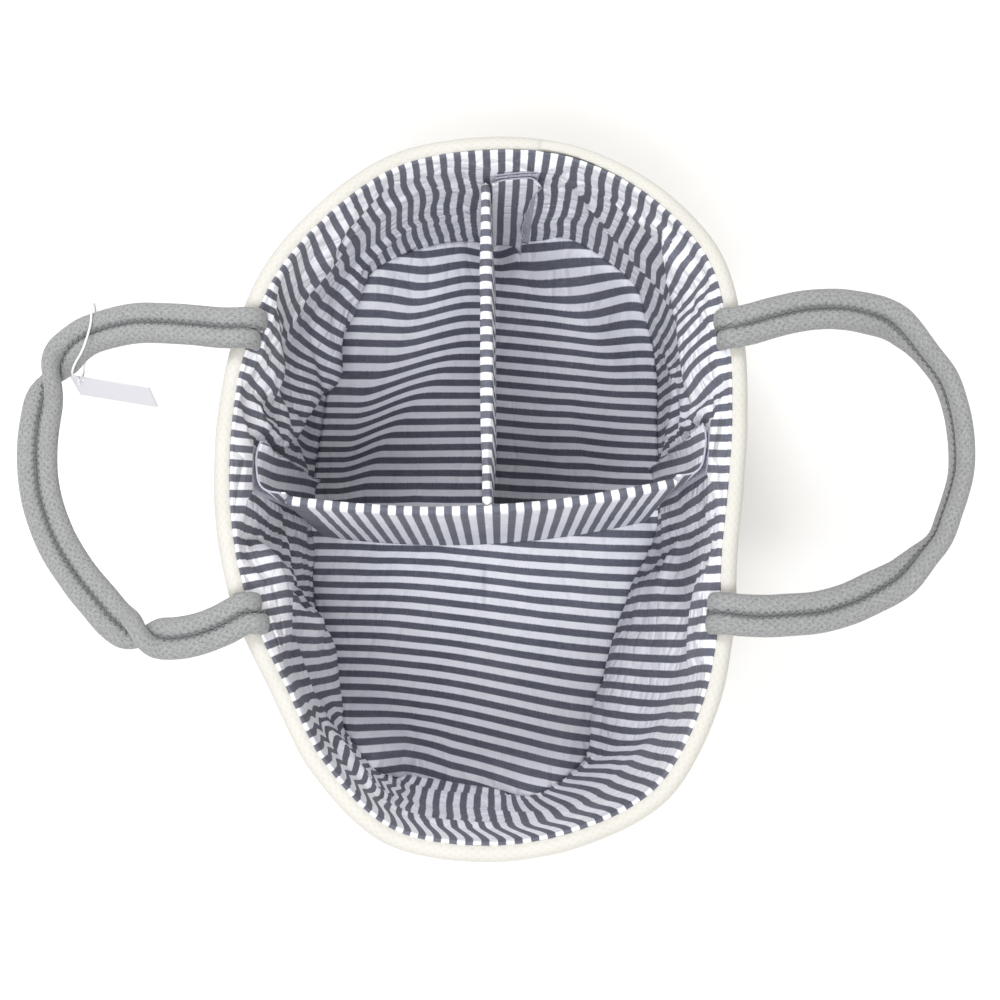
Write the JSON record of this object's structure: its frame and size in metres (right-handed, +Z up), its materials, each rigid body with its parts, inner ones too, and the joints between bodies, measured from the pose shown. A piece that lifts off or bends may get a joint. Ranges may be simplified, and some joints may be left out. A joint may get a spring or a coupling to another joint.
{
  "type": "coiled rope caddy with divider",
  "caption": "Oval caddy coiled from cotton rope, with a striped cotton lining, a padded T divider that lifts out and a soft rope handle on each long side.",
  "frame": {"origin": "on the underside of the rope floor, under the middle of its straight core", "axes": "+Z up, +Y to the back with the two small compartments, X across from handle to handle"},
  "size_m": [0.4906, 0.3651, 0.1894],
  "materials": {
    "cream_rope": "braided cotton",
    "grey_rope": "melange braided cotton",
    "striped_cotton": "woven stripe",
    "divider_board": "foam board",
    "loop_tape": "brushed nylon loop",
    "hook_tape": "moulded nylon hook",
    "white_string": "smooth",
    "card": "uncoated card, blank"
  },
  "bodies": {
    "basket": {"rope_floor": "cream_rope", "rope_wall": "cream_rope", "lining_floor": "striped_cotton", "lining_wall": "striped_cotton", "left_loop_tape": "loop_tape", "right_loop_tape": "loop_tape", "back_loop_tape": "loop_tape", "left_handle_back_tail": "grey_rope", "left_handle_front_tail": "grey_rope", "right_handle_back_tail": "grey_rope", "right_handle_front_tail": "grey_rope"},
    "divider": {"cross_panel_cover": "striped_cotton", "cross_panel_board": "divider_board", "long_panel_cover": "striped_cotton", "long_panel_board": "divider_board"},
    "left_fastener": {"left_flap": "striped_cotton", "left_hook_tape": "hook_tape"},
    "right_fastener": {"right_flap": "striped_cotton", "right_hook_tape": "hook_tape"},
    "back_fastener": {"back_flap": "striped_cotton", "back_hook_tape": "hook_tape"},
    "left_handle": {"left_handle_outer_strand": "grey_rope", "left_handle_inner_strand": "grey_rope", "tag_string": "white_string", "tag_card": "card"},
    "right_handle": {"right_handle_outer_strand": "grey_rope", "right_handle_inner_strand": "grey_rope"}
  },
  "joints": [
    {"name": "left_handle_swing", "type": "hinge", "parent": "basket", "child": "left_handle", "pos_m": [-0.10942, 0.008, 0.1847], "axis": [-0.0227, 0.9997, 0], "range_deg": [0, 90]},
    {"name": "right_handle_swing", "type": "hinge", "parent": "basket", "child": "right_handle", "pos_m": [0.11659, 0.008, 0.1847], "axis": [-0.0451, -0.999, 0], "range_deg": [0, 90]},
    {"name": "divider_lift", "type": "slide", "parent": "basket", "child": "divider", "axis": [0, -0.02, 0.9998], "range_m": [0, 0.2]},
    {"name": "left_flap_peel", "type": "hinge", "parent": "divider", "child": "left_fastener", "pos_m": [-0.09795, -0.0032, 0.03674], "axis": [0, 0, -1], "range_deg": [0, 75]},
    {"name": "right_flap_peel", "type": "hinge", "parent": "divider", "child": "right_fastener", "pos_m": [0.09806, 0.0058, 0.03674], "axis": [0, 0, 1], "range_deg": [0, 75]},
    {"name": "back_flap_peel", "type": "hinge", "parent": "divider", "child": "back_fastener", "pos_m": [0.0048, 0.16045, 0.03674], "axis": [0, 0, -1], "range_deg": [0, 75]}
  ]
}
